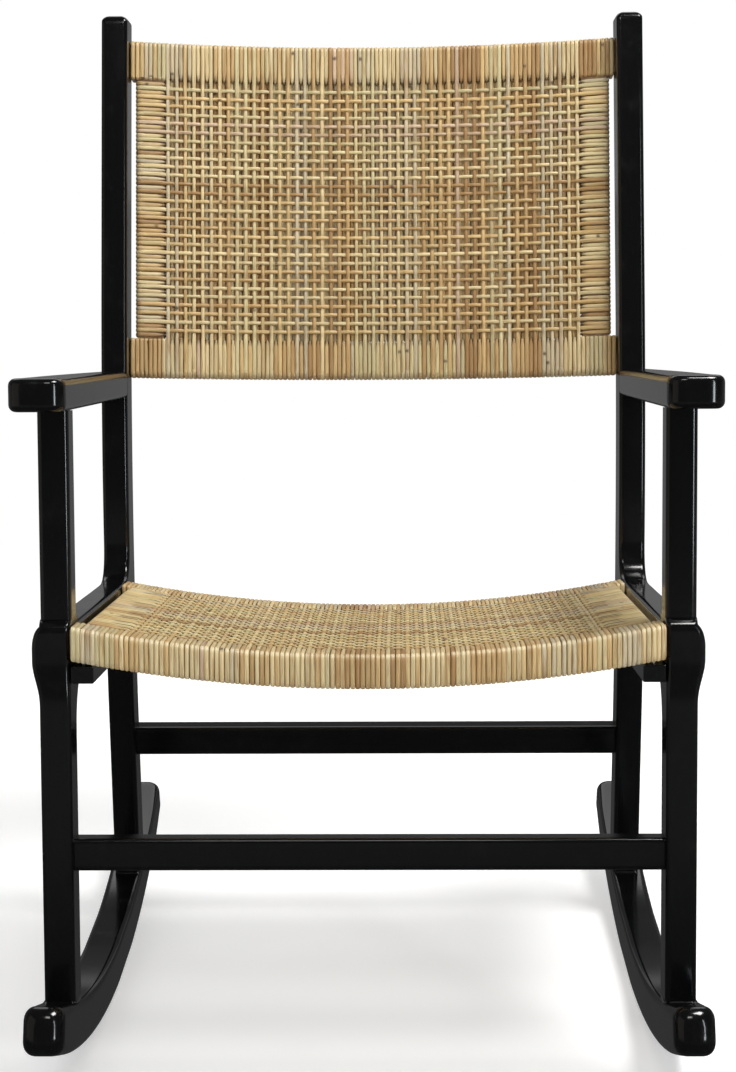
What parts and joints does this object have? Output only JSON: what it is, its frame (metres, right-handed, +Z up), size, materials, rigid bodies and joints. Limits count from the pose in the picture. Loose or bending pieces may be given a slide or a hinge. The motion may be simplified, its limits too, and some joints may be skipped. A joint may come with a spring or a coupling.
{
  "type": "rocking chair",
  "caption": "Rocking chair with a black lacquered wooden frame, curved rockers, flat arms, and a dipped seat and bowed back woven from rattan.",
  "frame": {"origin": "on the floor, under the middle of the chair's bounding box", "axes": "+Z up; the sitter faces -Y; +X is on the right of someone who looks at the front"},
  "size_m": [0.6358, 0.7752, 1.0179],
  "materials": {
    "lacquer": "black high-gloss lacquer on wood",
    "rattan": "natural rattan strands, satin, straw to tan",
    "bare_wood": "bare sawn hardwood, matte",
    "screw_steel": "zinc-plated screw steel"
  },
  "bodies": {
    "root": {"rocker_left": "lacquer", "rocker_right": "lacquer", "front_leg_left": "lacquer", "front_leg_right": "lacquer", "back_post_left": "lacquer", "back_post_right": "lacquer", "arm_post_left": "lacquer", "arm_post_right": "lacquer", "arm_left": "lacquer", "arm_right": "lacquer", "side_rail_left": "lacquer", "side_rail_right": "lacquer", "seat_cleat_left": "lacquer", "seat_cleat_right": "lacquer", "arm_plug_left": "lacquer", "arm_plug_right": "lacquer", "front_stretcher": "lacquer", "rear_stretcher": "lacquer", "seat_front_rail": "bare_wood", "seat_back_rail": "bare_wood", "seat_bar_left": "bare_wood", "seat_bar_right": "bare_wood", "back_top_rail": "bare_wood", "back_bottom_rail": "bare_wood", "back_stile_left": "bare_wood", "back_stile_right": "bare_wood", "front_leg_dowel_left": "bare_wood", "front_leg_dowel_right": "bare_wood", "rear_leg_dowel_left": "bare_wood", "rear_leg_dowel_right": "bare_wood", "arm_post_dowel_left": "bare_wood", "arm_post_dowel_right": "bare_wood", "arm_dowel_left": "bare_wood", "arm_dowel_right": "bare_wood", "arm_screw_left": "screw_steel", "arm_screw_right": "screw_steel", "seat_screw_front_left": "screw_steel", "seat_screw_front_right": "screw_steel", "seat_screw_rear_left": "screw_steel", "seat_screw_rear_right": "screw_steel", "cleat_screw_front_left": "screw_steel", "cleat_screw_front_right": "screw_steel", "cleat_screw_rear_left": "screw_steel", "cleat_screw_rear_right": "screw_steel", "seat_rattan": "rattan", "back_rattan": "rattan"}
  },
  "joints": []
}
